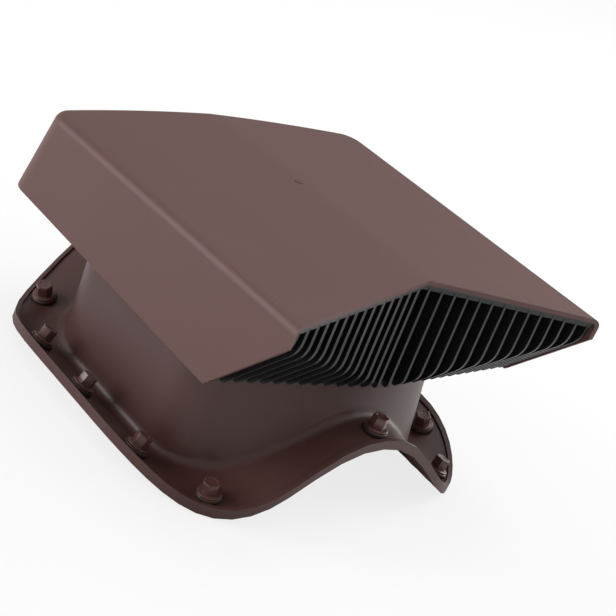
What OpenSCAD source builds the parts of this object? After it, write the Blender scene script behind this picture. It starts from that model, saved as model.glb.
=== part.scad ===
// Roof vent for corrugated tile sheet: a base whose flange follows the wave of the
// sheet, a duct rising from it, a wedge-shaped hood over the duct and a prow-shaped
// grille of bent slats in the hood's open front. Twelve hex-head screws with
// washers hold the flange down.
// X runs across the waves, -Y is down the roof towards the grille, Z is up.
// The origin is on the symmetry plane, below the centre of the duct, at the level
// of the troughs of the sheet.

/* [Roof sheet] */
// Distance from trough to trough of the sheet
wave_pitch = 183; // [170:1:200]
// Height of the crest over the troughs
wave_h = 43.6; // [30:0.1:46]
// How full the crest is, 1 being a plain cosine
crest_fullness = 1.12; // [1:0.01:1.3]

/* [Flange] */
// From the duct's foot to the side edge
side_margin = 28; // [26:0.5:34]
// From the duct's foot to the front edge
front_margin = 24; // [23.5:0.1:34]
// From the duct's foot to the back edge
back_margin = 37.5; // [30:0.5:46]
// Front corner, size across
front_corner_x = 66; // [50:1:75]
// Front corner, size along
front_corner_y = 78; // [60:1:90]
// How far the back's rounding runs forward
back_round = 89; // [75:1:105]
// Thickness of the flange
flange_t = 4; // [3:0.1:5]
// Width of the raised rim
rim_w = 2.4; // [2:0.1:3]
// Height of the rim over the flange
rim_h = 1.6; // [1:0.1:2.5]

/* [Duct] */
// Width of the duct at its foot
duct_w = 182; // [170:1:196]
// Length of the duct at its foot
duct_l = 164.6; // [158:0.1:170]
// How far the duct's centre lies behind the origin
duct_y = 1.2; // [0:0.1:3]
// Corner of the duct, size across
duct_corner_x = 66; // [50:1:75]
// Corner of the duct, size along
duct_corner_y = 51; // [40:1:65]
// How far the duct leans in on each side up to the hood
duct_lean = 7; // [4:0.1:9]
// How far the duct's back leans out up to the hood
duct_rake = 4; // [0:0.1:6]
// Wall of the duct
duct_wall = 3; // [2:0.1:4]
// Fillet between the flange and the duct
foot_fillet = 5; // [3:0.1:6]

/* [Hood] */
// Width of the hood
hood_w = 224; // [222:1:236]
// Level of the hood's lower edge
hood_z = 68; // [66:1:75]
// How far the front eave corners lie before the duct's centre
eave_front = 113; // [108:1:120]
// How far the ridge lies behind the front eave corners
prow_depth = 30; // [20:1:38]
// Level of the eave at the front
eave_z = 125.5; // [120:0.5:135]
// Level of the ridge at the front
ridge_z = 130.9; // [126:0.1:145]
// Level of the eave at the back
back_eave_z = 116.2; // [112:0.1:119]
// Level of the ridge at the back
back_ridge_z = 118.5; // [117:0.1:124]
// From the duct's centre to the back wall under the roof
hood_back = 98.6; // [97:0.1:104]
// How far the back wall spreads down to the lower edge
back_spread = 9; // [5:0.5:10]
// How far the back wall bows out in the middle
back_bow = 8; // [4:0.5:10]
// Radius of the back corners in plan
hood_corner = 12; // [10:1:30]
// Rounding of the eaves
eave_r = 5; // [4:0.5:8]
// Wall of the hood
hood_wall = 2.5; // [2:0.1:3]
// From the duct's centre to the front end of the side walls' lower edge
side_front = 75; // [74:1:85]
// Height of the upright part of the side walls' front edge
cheek_h = 11.5; // [9:0.5:20]

/* [Grille] */
// Distance from slat to slat
slat_pitch = 7.9; // [7:0.1:9]
// Thickness of a slat
slat_t = 1.8; // [1.4:0.1:2.4]
// Depth of a slat from front to back
slat_depth = 12; // [10:0.5:14]
// How far the slats stand back from the hood's front edge
slat_recess = 1.5; // [0.5:0.1:3]
// How far the middle slats come forward towards their lower ends
slat_belly = 4.5; // [0:0.5:6]
// Rounding of the bend of a slat
slat_bend = 6; // [2:0.5:8]
// Height of the grille's frame bars
bar_h = 3; // [2:0.1:4]

/* [Screws] */
// Hex of the head, across flats
hex_af = 8; // [7:0.5:9]
// Height of the hex
hex_h = 5.5; // [4:0.1:7]
// Diameter of the collar under the hex
collar_d = 12.6; // [11:0.1:13]
// Thickness of the collar
collar_t = 1.2; // [0.8:0.1:1.6]
// Diameter of the shank
shank_d = 4.8; // [4:0.1:5]
// Diameter of the washer
washer_d = 14; // [13.5:0.1:14.5]
// Thickness of the washer
washer_t = 2; // [1.5:0.1:2.5]
// From the rim to the washers
washer_clear = 1.2; // [1:0.1:1.5]

/* [Hidden] */
clear = 0.2;
gap = 0.3;
seat_gap = 0.1;
arc_steps = 12;
edge_steps = 8;
base_w = duct_w + 2 * side_margin;
base_front = duct_l / 2 - duct_y + front_margin;
base_back = duct_l / 2 + duct_y + back_margin;
hood_half = hood_w / 2;
duct_top = hood_z + bar_h;
hood_in = hood_half - hood_wall;
slats_half = floor((hood_in - slat_t / 2) / slat_pitch + 0.5);
cheek_z = eave_z - cheek_h;
cheek_slope = (eave_front - side_front) / (cheek_z - hood_z);
sill_y = -side_front + 3.5;
hole_d = shank_d + 2 * clear;

// Screws stand on an outline drawn in by screw_inset: on the front corners and on the
// rounded back at these angles, and in the middle of each side, the front and the back
screw_inset = rim_w + washer_d / 2 + washer_clear;
front_angles = [33, 73];
back_angles = [9, 44];
pairs = 5;

// Level of the sheet's top, which the flange's underside follows
function wave(x) =
    let (c = (1 + cos(360 * x / wave_pitch)) / 2)
    wave_h * (1 - pow(1 - c, crest_fullness));

// Rounded rectangle round [0, yc]: half sizes hx and hy, corners cx by cy at the
// front and bx by by at the back, with points along the front and back edges too
function plan(hx, y0, y1, cx, cy, bx, by) = concat(
    [for (i = [0:edge_steps - 1])
        [-(hx - cx) + 2 * (hx - cx) * i / edge_steps, y0]],
    [for (i = [0:arc_steps]) let (a = 90 * i / arc_steps)
        [hx - cx + cx * sin(a), y0 + cy - cy * cos(a)]],
    [for (i = [0:arc_steps]) let (a = 90 * i / arc_steps)
        [hx - bx + bx * cos(a), y1 - by + by * sin(a)]],
    [for (i = [1:edge_steps])
        [hx - bx - 2 * (hx - bx) * i / edge_steps, y1]],
    [for (i = [1:arc_steps]) let (a = 90 * i / arc_steps)
        [-(hx - bx) - bx * sin(a), y1 - by + by * cos(a)]],
    [for (i = [0:arc_steps - 1]) let (a = 90 * i / arc_steps)
        [-(hx - cx) - cx * cos(a), y0 + cy - cy * sin(a)]]);

// Flange outline, drawn in by d
function flange_plan(d) = plan(base_w / 2 - d, -base_front + d, base_back - d,
    front_corner_x - d, front_corner_y - d, base_w / 2 - d - 1, back_round - d);

// Duct outline, let out by d
function duct_plan(d) = plan(duct_w / 2 + d, duct_y - duct_l / 2 - d,
    duct_y + duct_l / 2 + d, duct_corner_x + d, duct_corner_y + d,
    duct_corner_x + d, duct_corner_y + d);

// Triangles that close a stack of n rings of m points into a loop of skins
function loop_faces(n, m) = [for (j = [0:n - 1], i = [0:m - 1])
    let (k = (j + 1) % n, h = (i + 1) % m)
    each [[j * m + i, j * m + h, k * m + h], [j * m + i, k * m + h, k * m + i]]];

// Outline of the floor plate, which fills the hood's lower opening behind the grille
function floor_plan() = plan(hood_in, sill_y,
    hood_back + back_spread + back_bow - hood_wall - 1, 3, 3,
    hood_corner, hood_corner + back_bow);

// Top outline of the duct, drawn in by d
function duct_top_plan(d) = plan(duct_w / 2 - duct_lean - d, sill_y + 1 + d,
    duct_y + duct_l / 2 + duct_rake - d, duct_corner_x - duct_lean - d,
    duct_corner_y - duct_lean - d, duct_corner_x - 2 * duct_lean - d,
    duct_corner_y - 2 * duct_lean - d);

// Ring of points: outline p on the wave, lifted by h, or level at z
function on_wave(p, h) = [for (q = p) [q[0], q[1], wave(q[0]) + h]];
function level(p, z) = [for (q = p) [q[0], q[1], z]];

// Outline a fraction t of the way from outline p to outline q
function between(p, q, t) = [for (i = [0:len(p) - 1]) (1 - t) * p[i] + t * q[i]];

// Flange, rim, duct and floor plate as one skin: over the rim and the flange, up the
// fillet and the leaning duct, round the plate, down the bore and out below
module shell() {
    fillet_steps = 5;
    spans = 3;
    rim_in = flange_plan(rim_w);
    foot = duct_plan(foot_fillet);
    bore = duct_plan(-duct_wall);
    over = [for (k = [1:spans - 1]) on_wave(between(rim_in, foot, k / spans), flange_t)];
    under = [for (k = [1:spans - 1]) on_wave(between(bore, flange_plan(0), k / spans), 0)];
    fillet = [for (k = [0:fillet_steps]) let (a = 90 * k / fillet_steps)
        on_wave(duct_plan(foot_fillet * (1 - sin(a))),
            flange_t + foot_fillet * (1 - cos(a)))];
    rings = concat([
            on_wave(flange_plan(0), 0),
            on_wave(flange_plan(0), flange_t + rim_h),
            on_wave(rim_in, flange_t + rim_h),
            on_wave(rim_in, flange_t)],
        over, fillet, [
            level(duct_top_plan(0), hood_z),
            level(floor_plan(), hood_z),
            level(floor_plan(), duct_top),
            level(duct_top_plan(duct_wall), duct_top),
            on_wave(bore, 0)],
        under);
    polyhedron(points = [for (r = rings) each r],
        faces = loop_faces(len(rings), len(rim_in)), convexity = 8);
}

module base() {
    color([0.36, 0.22, 0.2]) difference() {
        shell();
        at_screws() translate([0, 0, -3 * flange_t])
            cylinder(d = hole_d, h = 6 * flange_t, $fn = 32);
    }
}

// Back edge of the hood in plan, from right to left: half width hx, corner r, at y1
function back_line(hx, r, y1) = let (
        arc = [for (i = [arc_steps:-1:0]) let (a = 90 * i / arc_steps)
            hx - r + r * sin(a)],
        mid = [for (i = [edge_steps - 1:-1:1 - edge_steps])
            (hx - r) * i / edge_steps],
        xs = concat(arc, mid, [for (i = [len(arc) - 1:-1:0]) -arc[i]]))
    [for (x = xs) let (over = max(abs(x) - hx + r, 0))
        [x, y1 + back_bow * (1 - pow(x / hood_half, 2))
            - r + sqrt(max(r * r - over * over, 0))]];

// Front edge of the hood in plan, from the ridge out to the eave corners
function prow_y(x) = -eave_front + prow_depth * (1 - abs(x) / hood_half);

// Roof height: the eave and the ridge are straight and the roof is ruled between them
function roof_z(x, y) = let (
        eave = eave_z + (back_eave_z - eave_z) * (y + eave_front) / (hood_back + eave_front),
        front = prow_depth - eave_front,
        ridge = ridge_z + (back_ridge_z - ridge_z) * (y - front) / (hood_back + back_bow - front))
    ridge + (eave - ridge) * abs(x) / hood_half;

// Solid under the roof, drawn in by d, from level z0 up, its front moved out by ahead
module hood_solid(d, z0, ahead) {
    r = eave_r - d;
    steps = 5;
    function ring(inset, spread) = let (
            b = back_line(hood_half - d - inset, hood_corner - d - inset,
                hood_back - d - inset + spread))
        concat(b, [for (i = [len(b) - 1:-1:0]) [b[i][0], prow_y(b[i][0]) - ahead]]);
    low = [for (p = ring(0, back_spread)) [p[0], p[1], z0]];
    eave = [for (k = [0:steps]) let (a = 90 * k / steps)
        [for (p = ring(r * (1 - cos(a)), 0))
            [p[0], p[1], roof_z(p[0], p[1]) - d - r * (1 - sin(a))]]];
    rings = concat([low], eave);
    m = len(low);
    n = len(rings);
    side = [for (j = [0:n - 2], i = [0:m - 1]) let (h = (i + 1) % m)
        each [[j * m + i, (j + 1) * m + i, (j + 1) * m + h],
            [j * m + i, (j + 1) * m + h, j * m + h]]];
    last = (n - 1) * m;
    caps = [for (i = [0:m / 2 - 2])
        let (a = i, b = i + 1, c = m - 2 - i, e = m - 1 - i)
        each [[a, b, c], [a, c, e], [last + a, last + c, last + b], [last + a, last + e, last + c]]];
    polyhedron(points = [for (q = rings) each q], faces = concat(side, caps), convexity = 6);
}

// Space before the side walls' front edges: upright under the eave, then sloping back
module front_cut() {
    far = eave_front + hood_w;
    translate([-hood_w, 0, 0])
        rotate([90, 0, 90])
            linear_extrude(2 * hood_w)
                polygon([[-far, 0], [-side_front, 0], [-side_front, hood_z],
                    [-eave_front, cheek_z], [-far, cheek_z]]);
}

module hood() {
    color([0.42, 0.27, 0.25]) difference() {
        hood_solid(0, hood_z, 0);
        hood_solid(hood_wall, hood_z - 1, 2 * eave_r);
        front_cut();
    }
}

// Side view of a slat at distance x from the middle: straight down from the prow's
// edge, then bent back to run along the slope of the side walls
function slat_line(x) = let (
        y0 = prow_y(x) + slat_recess,
        top = roof_z(x, y0) - hood_wall - gap - bar_h / 2,
        full = hood_z + (cheek_z - hood_z) * abs(x) / hood_half,
        z1 = max(full, hood_z + 1),
        s = min(slat_bend, (z1 - hood_z) / 2),
        y1 = y0 - slat_belly * (1 - abs(x) / hood_half),
        up = [y0 - y1, top - z1] / norm([y0 - y1, top - z1]),
        low = [y1 + (z1 - hood_z) * cheek_slope, hood_z],
        u = [cheek_slope, -1] / norm([cheek_slope, -1]))
    concat([[y0, top]],
        [for (k = [0:4]) let (t = k / 4)
            (1 - t) * (1 - t) * ([y1, z1] + s * up) + 2 * t * (1 - t) * [y1, z1]
                + t * t * ([y1, z1] + s * u)],
        [low]);

module slat(x, t, back) {
    line = slat_line(x);
    n = len(line) - 1;
    translate([x - t / 2, 0, 0])
        rotate([90, 0, 90])
            linear_extrude(t)
                polygon(concat([for (p = line) p + [back, 0]],
                    [[sill_y, hood_z], [sill_y, duct_top],
                        [line[n][0] + slat_depth - bar_h * cheek_slope, duct_top]],
                    [for (i = [n - 1:-1:0]) line[i] + [slat_depth, 0]]));
}

// Bar under the roof's front edge, one half, from the ridge to the side wall
module top_bar(side) {
    x1 = side * hood_in;
    ring = [for (p = [[0, 0], [x1, 0], [x1, slat_depth], [0, slat_depth]])
        [p[0], prow_y(p[0]) + slat_recess + p[1]]];
    pts = concat([for (p = ring) [p[0], p[1], roof_z(p[0], p[1]) - hood_wall - gap - bar_h]],
        [for (p = ring) [p[0], p[1], roof_z(p[0], p[1]) - hood_wall - gap]]);
    sides = [for (i = [0:3]) let (h = (i + 1) % 4)
        each [[i, i + 4, h + 4], [i, h + 4, h]]];
    all = concat([[0, 1, 2], [0, 2, 3], [4, 6, 5], [4, 7, 6]], sides);
    polyhedron(points = pts, faces = side > 0 ? all : [for (f = all) [f[0], f[2], f[1]]]);
}

// Sill across the slats' lower ends, before the floor plate
module sill() {
    xs = [for (i = [-edge_steps:edge_steps]) hood_in * i / edge_steps];
    translate([0, 0, hood_z])
        linear_extrude(bar_h)
            polygon(concat([for (x = xs) let (l = slat_line(x)) [x, l[len(l) - 1][0] + 1]],
                [[hood_in, sill_y], [-hood_in, sill_y]]));
}

module grille() {
    color([0.07, 0.07, 0.07]) {
        for (k = [0:slats_half - 1], s = [-1, 1])
            slat(s * (k + 0.5) * slat_pitch, slat_t, 0);
        for (s = [-1, 1]) {
            slat(s * (hood_in - slat_t / 2), slat_t, 1);
            top_bar(s);
        }
        sill();
    }
}

// Place of screw i, counted from the front to the back, on the side of that sign
function place(side, i) = let (
        hx = base_w / 2 - screw_inset,
        y0 = screw_inset - base_front,
        y1 = base_back - screw_inset,
        cx = front_corner_x - screw_inset,
        cy = front_corner_y - screw_inset,
        by = back_round - screw_inset,
        a = i < 2 ? front_angles[i] : back_angles[max(i - 3, 0)])
    i < 2 ? [side * (hx - cx + cx * sin(a)), y0 + cy - cy * cos(a)]
    : i == 2 ? [side * hx, (y0 + cy + y1 - by) / 2]
    : [side * hx * cos(a), y1 - by + by * sin(a)];

front_place = [0, screw_inset - base_front];
back_place = [0, base_back - screw_inset];

// How far a washer at x is held off the hollow of the flange by its edge
function seat(x) = let (r = washer_d / 2)
    max((wave(x - r) + wave(x + r)) / 2 - wave(x), 0) + seat_gap;

// Stands its children on the flange at p, at right angles to the sheet
module at_place(p) {
    slope = wave(p[0] + 0.5) - wave(p[0] - 0.5);
    translate([p[0], p[1], wave(p[0]) + flange_t])
        rotate([0, -atan(slope), 0])
            translate([0, 0, seat(p[0])]) children();
}

module at_screws() {
    for (i = [0:pairs - 1], s = [-1, 1]) at_place(place(s, i)) children();
    at_place(front_place) children();
    at_place(back_place) children();
}

module screw() {
    root = flange_t - 0.5;
    color([0.36, 0.22, 0.2]) {
        translate([0, 0, -root]) cylinder(d = shank_d, h = root + washer_t, $fn = 32);
        translate([0, 0, washer_t]) cylinder(d = collar_d, h = collar_t, $fn = 48);
        translate([0, 0, washer_t + collar_t])
            cylinder(d = hex_af / cos(30), h = hex_h, $fn = 6);
    }
}

module washer() {
    color([0.3, 0.18, 0.16])
        difference() {
            cylinder(d = washer_d, h = washer_t, $fn = 48);
            translate([0, 0, -1]) cylinder(d = hole_d, h = washer_t + 2, $fn = 32);
        }
}

base();
hood();
grille();
at_place(front_place) screw();  // screw_front
at_place(back_place) screw();  // screw_back
at_place(front_place) washer();  // washer_front
at_place(back_place) washer();  // washer_back
for (i = [0:pairs - 1]) {
    at_place(place(-1, i)) screw();
    at_place(place(1, i)) screw();
    at_place(place(-1, i)) washer();
    at_place(place(1, i)) washer();
}
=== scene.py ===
# %% [markdown]
# A roof vent for wave-shaped tile sheet, brown plastic with a black slatted front.
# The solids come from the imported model, which stays fixed. Here each piece gets the
# small radii, the layers and the finish that the eye reads as a real moulded part.

# %% Load the frame
import math

import bpy
import numpy as np
from mathutils import Matrix, Vector


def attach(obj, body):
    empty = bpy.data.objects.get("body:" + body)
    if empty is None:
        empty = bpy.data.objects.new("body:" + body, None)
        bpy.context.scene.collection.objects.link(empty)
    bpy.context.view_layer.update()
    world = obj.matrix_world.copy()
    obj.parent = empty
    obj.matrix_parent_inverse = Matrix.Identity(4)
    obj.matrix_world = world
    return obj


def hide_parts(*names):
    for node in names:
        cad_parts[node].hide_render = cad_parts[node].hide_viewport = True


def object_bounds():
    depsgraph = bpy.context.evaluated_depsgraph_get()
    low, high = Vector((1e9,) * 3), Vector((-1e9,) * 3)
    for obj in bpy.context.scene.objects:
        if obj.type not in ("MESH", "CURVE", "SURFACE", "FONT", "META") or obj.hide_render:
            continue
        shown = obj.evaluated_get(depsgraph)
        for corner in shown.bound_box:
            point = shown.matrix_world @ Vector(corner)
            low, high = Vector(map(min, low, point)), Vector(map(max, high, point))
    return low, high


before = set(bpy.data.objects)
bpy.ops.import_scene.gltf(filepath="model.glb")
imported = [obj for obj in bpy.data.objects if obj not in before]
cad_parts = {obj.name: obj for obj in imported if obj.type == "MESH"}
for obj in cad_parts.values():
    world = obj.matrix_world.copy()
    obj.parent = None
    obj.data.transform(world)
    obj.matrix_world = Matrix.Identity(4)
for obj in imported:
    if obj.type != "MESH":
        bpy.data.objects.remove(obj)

MM = 0.001
cad_box = [list(corner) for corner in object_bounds()]
print("CAD box in mm", [[round(v / MM, 1) for v in corner] for corner in cad_box])

# %% [markdown]
# Every operator acts on what is selected, and loading leaves the solids selected.
# So each step starts from one piece alone, and faces are picked by code.

# %% Selection helpers
def alone(piece):
    bpy.ops.object.select_all(action="DESELECT")
    piece.select_set(True)
    bpy.context.view_layer.objects.active = piece


def in_edit_mode(piece, pick="SELECT"):
    alone(piece)
    bpy.ops.object.mode_set(mode="EDIT")
    bpy.ops.mesh.select_mode(type="FACE")
    bpy.ops.mesh.select_all(action=pick)


def out_of_edit_mode():
    bpy.ops.object.mode_set(mode="OBJECT")


def pick_faces(piece, wanted):
    """Selects the faces for which wanted(centre, normal) holds, and goes back to edit mode."""
    bpy.ops.object.mode_set(mode="OBJECT")
    for face in piece.data.polygons:
        face.select = bool(wanted(face.center, face.normal))
    bpy.ops.object.mode_set(mode="EDIT")


def bevelled(piece, width, segments=3, angle=40):
    """Rounds the edges sharper than angle and shades the rest smooth."""
    alone(piece)
    edge = piece.modifiers.new("edge", "BEVEL")
    edge.width = width
    edge.segments = segments
    edge.limit_method = "ANGLE"
    edge.angle_limit = math.radians(angle)
    edge.miter_outer = "MITER_ARC"
    bpy.ops.object.modifier_apply(modifier=edge.name)
    bpy.ops.object.shade_smooth_by_angle(angle=math.radians(angle))


def evened(piece):
    """Large flat faces keep their own normals, and the small radii take the turn."""
    alone(piece)
    even = piece.modifiers.new("even", "WEIGHTED_NORMAL")
    even.keep_sharp = True
    even.weight = 80
    bpy.ops.object.modifier_apply(modifier=even.name)


# %% [markdown]
# A moulding has no knife edges: the tool that cuts the steel mould leaves a small
# radius on every rim. The solids carry the true shape but sharp edges, so each big
# moulding is a copy of its solid with doubled points merged, flat triangles joined
# and the sharp edges rounded. Remodelling the wave from a primitive could only drift
# from the true one.

# %% Dress a moulding
def moulding(node, name, edge_width, segments=3):
    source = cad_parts[node]
    piece = source.copy()
    piece.data = source.data.copy()
    piece.name = name
    bpy.context.scene.collection.objects.link(piece)
    in_edit_mode(piece)
    bpy.ops.mesh.remove_doubles(threshold=0.01 * MM)
    bpy.ops.mesh.dissolve_limited(angle_limit=math.radians(0.4))
    bpy.ops.mesh.normals_make_consistent(inside=False)
    out_of_edit_mode()
    if piece.data.has_custom_normals:
        bpy.ops.mesh.customdata_custom_splitnormals_clear()
    bevelled(piece, edge_width, segments)
    evened(piece)
    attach(piece, "root")
    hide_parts(node)
    print(name, len(piece.data.polygons), "faces")
    return piece


base_piece = moulding("base", "flange_and_duct", 0.9 * MM)
hood_piece = moulding("hood", "hood_shell", 0.6 * MM)
grille_piece = moulding("grille", "slatted_front", 0.3 * MM, 2)

# %% [markdown]
# Shader maths reads best as ordinary expressions. This small class wraps a socket and
# turns +, -, * and / on it into Math nodes, and one method adds every other node.

# %% Finish helpers
class Level:
    def __init__(self, finish, socket):
        self.finish = finish
        self.socket = socket

    def maths(self, operation, first, second):
        return self.finish.add("ShaderNodeMath", {"operation": operation}, {0: first, 1: second})

    def __add__(self, other):
        return self.maths("ADD", self, other)

    def __radd__(self, other):
        return self.maths("ADD", other, self)

    def __sub__(self, other):
        return self.maths("SUBTRACT", self, other)

    def __rsub__(self, other):
        return self.maths("SUBTRACT", other, self)

    def __mul__(self, other):
        return self.maths("MULTIPLY", self, other)

    def __rmul__(self, other):
        return self.maths("MULTIPLY", other, self)

    def __truediv__(self, other):
        return self.maths("DIVIDE", self, other)


class Finish:
    def __init__(self, name):
        self.material = bpy.data.materials.new(name)
        self.material.use_nodes = True
        self.nodes = self.material.node_tree.nodes
        self.links = self.material.node_tree.links
        self.shader = self.nodes["Principled BSDF"]
        self.place = self.add("ShaderNodeTexCoord", output="Object")

    def add(self, kind, settings=None, values=None, output=0):
        node = self.nodes.new(kind)
        for key, value in (settings or {}).items():
            if key == "stops":
                for place, colour in value[:-2]:
                    node.color_ramp.elements.new(place).color = colour
                for end, (place, colour) in zip((0, -1), value[-2:]):
                    node.color_ramp.elements[end].position = place
                    node.color_ramp.elements[end].color = colour
            else:
                setattr(node, key, value)
        self.fill(node, values or {})
        return Level(self, node.outputs[output])

    def fill(self, node, values):
        for key, value in values.items():
            if isinstance(value, Level):
                self.links.new(value.socket, node.inputs[key])
            else:
                node.inputs[key].default_value = value

    def noise(self, size, detail=2.0, rough=0.5):
        """Noise from 0 to 1 whose patches measure about size in metres."""
        return self.add("ShaderNodeTexNoise", {"noise_dimensions": "3D"},
                        {"Vector": self.place, "Scale": 1 / size, "Detail": detail, "Roughness": rough})

    def blend(self, low, high, amount):
        return self.add("ShaderNodeMix", {"data_type": "RGBA"}, {0: amount, 6: low, 7: high}, output=2)

    def bump(self, height, depth, strength=1.0, under=None):
        values = {"Height": height, "Distance": depth, "Strength": strength}
        if under:
            values["Normal"] = under
        return self.add("ShaderNodeBump", None, values)


def linear(red, green, blue):
    """A colour as it is seen on screen, 0 to 255, made ready for a shader."""
    def channel(value):
        share = value / 255
        return share / 12.92 if share <= 0.04045 else ((share + 0.055) / 1.055) ** 2.4
    return (channel(red), channel(green), channel(blue), 1.0)


# %% [markdown]
# The brown plastic is through-coloured and comes from a finely blasted mould. Up close
# its skin is a field of tiny pits, so light breaks softly on it and grazing light
# washes the colour out. Broad, faint clouds of tone keep the large faces alive.

# %% Brown moulded plastic
def brown_plastic(name, colour, roughness):
    finish = Finish(name)
    clouds = finish.noise(60 * MM, 3.0, 0.55)
    grain = finish.noise(0.55 * MM, 2.0, 0.6)
    pits = finish.noise(1.6 * MM, 3.0, 0.6)
    darker = tuple(0.9 * c for c in colour[:3]) + (1.0,)
    lighter = tuple(min(1.1 * c, 1.0) for c in colour[:3]) + (1.0,)
    finish.fill(finish.shader, {
        "Base Color": finish.blend(darker, lighter, clouds * 0.8 + grain * 0.2),
        "Roughness": roughness - 0.05 + pits * 0.1,
        "Normal": finish.bump(grain * 0.6 + pits * 0.4, 0.05 * MM, 0.5),
        "IOR": 1.49,
    })
    return finish.material


hood_plastic = brown_plastic("hood_plastic", linear(92, 61, 56), 0.5)
base_plastic = brown_plastic("base_plastic", linear(78, 50, 46), 0.42)

# %% [markdown]
# The grille is black plastic from a polished mould: darker and a little glossier, so
# the thin front edges of the slats catch a grey line of light.

# %% Black moulded plastic
def black_plastic(name):
    finish = Finish(name)
    grain = finish.noise(0.7 * MM, 2.0, 0.5)
    smears = finish.noise(18 * MM, 3.0, 0.6)
    finish.fill(finish.shader, {
        "Base Color": finish.blend(linear(10, 10, 11), linear(22, 22, 23), smears),
        "Roughness": 0.3 + smears * 0.15,
        "Normal": finish.bump(grain, 0.03 * MM, 0.4),
        "IOR": 1.5,
    })
    return finish.material


grille_plastic = black_plastic("grille_plastic")

# %% [markdown]
# Roofing screws are powder-coated steel. The coat lies a little uneven, like orange
# peel, and is smoother than the moulded plastic. The washer's lower layer is rubber.

# %% Coated steel and rubber
def powder_coat(name, colour):
    finish = Finish(name)
    peel = finish.noise(1.1 * MM, 2.0, 0.5)
    rubs = finish.noise(3.0 * MM, 3.0, 0.6)
    lighter = tuple(min(1.25 * c, 1.0) for c in colour[:3]) + (1.0,)
    finish.fill(finish.shader, {
        "Base Color": finish.blend(colour, lighter, rubs),
        "Roughness": 0.3 + rubs * 0.1,
        "Normal": finish.bump(peel, 0.06 * MM, 0.5),
        "Coat Weight": 0.3,
        "Coat Roughness": 0.2,
    })
    return finish.material


def rubber(name, colour):
    finish = Finish(name)
    grain = finish.noise(0.6 * MM, 2.0, 0.6)
    bloom = finish.noise(5.0 * MM, 3.0, 0.6)
    paler = tuple(min(1.4 * c, 1.0) for c in colour[:3]) + (1.0,)
    finish.fill(finish.shader, {
        "Base Color": finish.blend(colour, paler, bloom),
        "Roughness": 0.7 + bloom * 0.15,
        "Normal": finish.bump(grain, 0.05 * MM, 0.6),
    })
    return finish.material


screw_paint = powder_coat("screw_paint", linear(82, 52, 47))
washer_seal = rubber("washer_seal", linear(34, 26, 25))

# %% Give the solids and the mouldings their finish
def dress(piece, material):
    piece.data.materials.clear()
    piece.data.materials.append(material)


finishes = {"base": base_plastic, "hood": hood_plastic, "grille": grille_plastic}
for node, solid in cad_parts.items():
    kind = node.split("_")[0]
    material = finishes.get(kind) or (screw_paint if kind == "screw" else washer_seal)
    for place in solid.material_slots:
        place.material = material
dress(base_piece, base_plastic)
dress(hood_piece, hood_plastic)
dress(grille_piece, grille_plastic)

# %% [markdown]
# Each screw stands at right angles to the sheet, so those on the slopes lean. The flat
# washer gives its axis away: it is the direction in which its points spread least.

# %% Find where each screw stands
def stand_of(node):
    points = np.array([v.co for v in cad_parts[node].data.vertices])
    middle = (points.max(axis=0) + points.min(axis=0)) / 2
    axis = np.linalg.svd(points - points.mean(axis=0))[2][2]
    axis *= np.sign(axis[2])
    low = ((points - middle) @ axis).min()
    turn = Vector((0, 0, 1)).rotation_difference(Vector(axis)).to_matrix().to_4x4()
    return Matrix.Translation(Vector(middle + axis * low)) @ turn


places = sorted(node[len("washer_"):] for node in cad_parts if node.startswith("washer_"))
stands = {place: stand_of("washer_" + place) for place in places}
print("screws at", {p: [round(c / MM) for c in m.translation] for p, m in stands.items()})

# %% [markdown]
# The sealing washer is a stack: a rubber ring that squeezes out a little, and a dished
# steel cap on it. A disc is inset, raised and lowered step by step, as on a lathe.

# %% Model the washer
washer_half = 7.0 * MM
washer_high = 2.0 * MM


def disc(name, radius, depth, low, vertices=48):
    bpy.ops.object.select_all(action="DESELECT")
    bpy.ops.mesh.primitive_cylinder_add(vertices=vertices, radius=radius, depth=depth,
                                        location=(0, 0, low + depth / 2))
    piece = bpy.context.object
    piece.name = name
    bpy.ops.object.transform_apply(location=True, rotation=True, scale=True)
    return piece


def raise_top(piece, steps):
    """Works on the top face: each step insets it and lifts it."""
    in_edit_mode(piece, "DESELECT")
    top = max(v.co.z for v in piece.data.vertices)
    pick_faces(piece, lambda centre, normal: normal.z > 0.9 and centre.z > top - 0.01 * MM)
    for inset, lift in steps:
        bpy.ops.mesh.inset(thickness=inset, depth=lift)
    out_of_edit_mode()


def washer_pieces():
    seal = disc("washer_rubber", washer_half, 1.1 * MM, 0.0)
    raise_top(seal, [(0.3 * MM, 0.0)])
    bevelled(seal, 0.4 * MM, 3)
    cap = disc("washer_cap", washer_half - 0.35 * MM, 0.5 * MM, 1.1 * MM)
    raise_top(cap, [(0.5 * MM, 0.12 * MM), (1.4 * MM, 0.28 * MM)])
    bevelled(cap, 0.18 * MM, 2)
    dress(seal, washer_seal)
    dress(cap, screw_paint)
    return seal, cap


# %% [markdown]
# The screw's head is a tall 8 mm hexagon on a round collar. The hexagon starts as a
# six-sided cylinder whose corners are chamfered; the collar slopes up to it.

# %% Model the screw head
hex_across_corners = 8.0 * MM / math.cos(math.radians(30))
collar_half = 6.3 * MM


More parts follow.
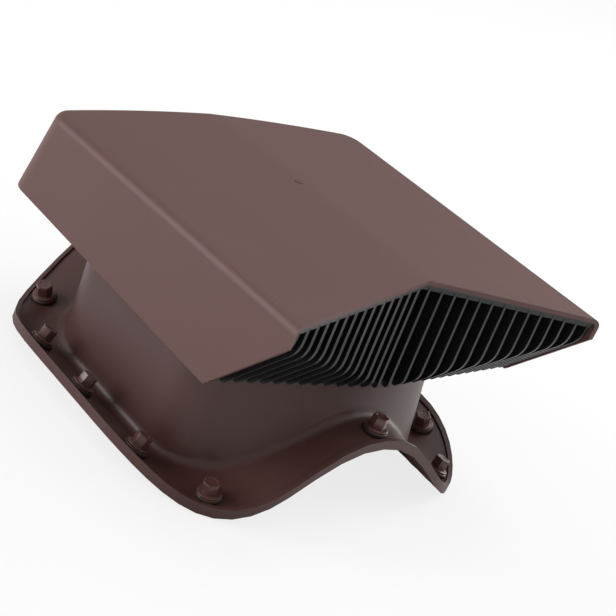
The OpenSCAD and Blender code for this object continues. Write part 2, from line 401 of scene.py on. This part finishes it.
def screw_pieces():
    collar = disc("collar", collar_half, 0.7 * MM, washer_high)
    raise_top(collar, [(0.25 * MM, 0.1 * MM), (1.2 * MM, 0.4 * MM)])
    bevelled(collar, 0.2 * MM, 2)
    head = disc("hex", hex_across_corners / 2, 6.0 * MM, washer_high + 0.7 * MM, 6)
    raise_top(head, [(0.35 * MM, 0.0)])
    in_edit_mode(head, "DESELECT")
    pick_faces(head, lambda centre, normal: normal.z > 0.9 and centre.xy.length < 1 * MM)
    bpy.ops.transform.translate(value=(0, 0, 0.25 * MM))
    bpy.ops.mesh.inset(thickness=0.9 * MM, depth=0.0)
    bpy.ops.mesh.inset(thickness=0.35 * MM, depth=-0.25 * MM)
    out_of_edit_mode()
    bevelled(head, 0.25 * MM, 3, 25)
    dress(collar, screw_paint)
    dress(head, screw_paint)
    return collar, head


# %% [markdown]
# One screw and one washer are modelled at the origin and copied to every place, each
# copy with its own mesh. Each hexagon is turned differently, as after real fitting.

# %% Copy them to the twelve places
def joined(pieces, name):
    alone(pieces[0])
    for other in pieces[1:]:
        other.select_set(True)
    bpy.ops.object.join()
    pieces[0].name = name
    return pieces[0]


def stood(model, name, stand, turn_degrees, node):
    piece = model.copy()
    piece.data = model.data.copy()
    piece.name = name
    bpy.context.scene.collection.objects.link(piece)
    piece.data.transform(stand @ Matrix.Rotation(math.radians(turn_degrees), 4, "Z"))
    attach(piece, "root")
    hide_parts(node)
    return piece


washer_model = joined(washer_pieces(), "washer_model")
screw_model = joined(screw_pieces(), "screw_model")
for count, (place, stand) in enumerate(stands.items()):
    stood(washer_model, "sealing_washer_" + place, stand, 0, "washer_" + place)
    stood(screw_model, "hex_screw_" + place, stand, 25 + 23 * count, "screw_" + place)
for model in (washer_model, screw_model):
    bpy.data.objects.remove(model)
print(len(stands), "screws and washers stand on the flange")

# %% [markdown]
# A small round mark on the ridge shows where the plastic was injected: a shallow dish
# with a nub in it. It is set on the roof by looking straight down onto the hood.

# %% Injection mark on the ridge
gate_back = 21.7 * MM


def roof_height(x, y):
    start = Vector((x, y, cad_box[1][2] + 10 * MM))
    hit, point, normal, face = hood_piece.ray_cast(start, Vector((0, 0, -1)))
    return point.z, normal


gate_z, gate_normal = roof_height(0.6 * MM, gate_back)
gate = disc("injection_mark", 2.6 * MM, 0.7 * MM, -0.45 * MM, 32)
raise_top(gate, [(0.5 * MM, 0.1 * MM), (0.5 * MM, -0.3 * MM), (0.8 * MM, 0.0), (0.3 * MM, 0.3 * MM)])
bevelled(gate, 0.1 * MM, 2)
tilt = Vector((0, 0, 1)).rotation_difference(Vector((0, gate_normal.y, gate_normal.z))).to_matrix().to_4x4()
gate.data.transform(Matrix.Translation((0, gate_back, gate_z)) @ tilt)
dress(gate, hood_plastic)
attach(gate, "root")
print("injection mark at height", round(gate_z / MM, 1))

# %% [markdown]
# The stage: a pale floor that keeps a soft shadow. Camera rays see it, and the world
# behind it, as plain white, so no extra light has to fall on the vent.

# %% Floor and world
def white_to_camera(tree, shader, strength):
    """Mixes the shader with plain white for camera and transmission rays."""
    path = tree.nodes.new("ShaderNodeLightPath")
    seen = tree.nodes.new("ShaderNodeMath")
    seen.operation = "MAXIMUM"
    tree.links.new(path.outputs["Is Camera Ray"], seen.inputs[0])
    tree.links.new(path.outputs["Is Transmission Ray"], seen.inputs[1])
    white = tree.nodes.new("ShaderNodeEmission" if shader.type != "BACKGROUND" else "ShaderNodeBackground")
    white.inputs["Color"].default_value = (1, 1, 1, 1)
    white.inputs["Strength"].default_value = strength
    mix = tree.nodes.new("ShaderNodeMixShader")
    tree.links.new(shader.outputs[0], mix.inputs[1])
    tree.links.new(white.outputs[0], mix.inputs[2])
    return seen, mix


bpy.ops.object.select_all(action="DESELECT")
bpy.ops.mesh.primitive_plane_add(size=6.0, location=(0, 0, -0.2 * MM))
floor = bpy.context.object
floor.name = "floor"
bpy.ops.object.transform_apply(location=True)
floor_paint = bpy.data.materials.new("floor_paint")
floor_paint.use_nodes = True
tree = floor_paint.node_tree
matt = tree.nodes["Principled BSDF"]
matt.inputs["Base Color"].default_value = (0.9, 0.9, 0.9, 1)
matt.inputs["Roughness"].default_value = 0.9
seen, mix = white_to_camera(tree, matt, 1.0)
share = tree.nodes.new("ShaderNodeMath")
share.operation = "MULTIPLY"
share.inputs[1].default_value = 0.8
tree.links.new(seen.outputs[0], share.inputs[0])
tree.links.new(share.outputs[0], mix.inputs[0])
tree.links.new(mix.outputs[0], tree.nodes["Material Output"].inputs["Surface"])
floor.data.materials.append(floor_paint)

world = bpy.data.worlds.new("studio")
bpy.context.scene.world = world
world.use_nodes = True
tree = world.node_tree
sky = tree.nodes["Background"]
sky.inputs["Color"].default_value = (1, 1, 1, 1)
sky.inputs["Strength"].default_value = 0.45
seen, mix = white_to_camera(tree, sky, 1.0)
tree.links.new(seen.outputs[0], mix.inputs[0])
tree.links.new(mix.outputs[0], tree.nodes["World Output"].inputs["Surface"])

# %% [markdown]
# Large soft boxes stand low behind the vent on both sides. Their light grazes the
# walls and the duct, which gives the pale sheens on the rounded corners. A weaker one
# overhead lifts the roof a little, and the front stays calm.

# %% Soft boxes
def soft_box(name, place, aim, size, watts):
    lamp = bpy.data.lights.new(name, "AREA")
    lamp.shape = "RECTANGLE"
    lamp.size = size[0]
    lamp.size_y = size[1]
    lamp.energy = watts
    holder = bpy.data.objects.new(name, lamp)
    bpy.context.scene.collection.objects.link(holder)
    holder.location = place
    holder.rotation_euler = (Vector(aim) - Vector(place)).to_track_quat("-Z", "Y").to_euler()
    return holder


centre = (0, 0, 0.07)
soft_box("left_back_box", (-1.5, 1.1, 0.6), centre, (1.0, 1.4), 22)
soft_box("right_box", (1.5, -0.2, 0.7), centre, (1.0, 1.4), 16)
soft_box("top_box", (0.2, 0.3, 1.7), centre, (1.2, 1.2), 10)

# %% [markdown]
# The camera stands at the front left and looks down by 25 degrees with a long lens,
# tilted sideways as in the photograph. The lens shift sets the crop.

# %% Camera
camera_data = bpy.data.cameras.new("camera")
camera_data.sensor_width = 36.0
camera_data.lens = 102.82
camera_data.shift_x = 0.0735
camera_data.shift_y = 0.0325
camera_data.clip_start = 0.05
camera = bpy.data.objects.new("camera", camera_data)
bpy.context.scene.collection.objects.link(camera)
camera.location = (-652.1 * MM, -557.6 * MM, 444.4 * MM)
camera.rotation_euler = tuple(math.radians(a) for a in (62.792, -22.481, -38.251))
bpy.context.scene.camera = camera
bpy.context.scene.view_settings.view_transform = "Standard"
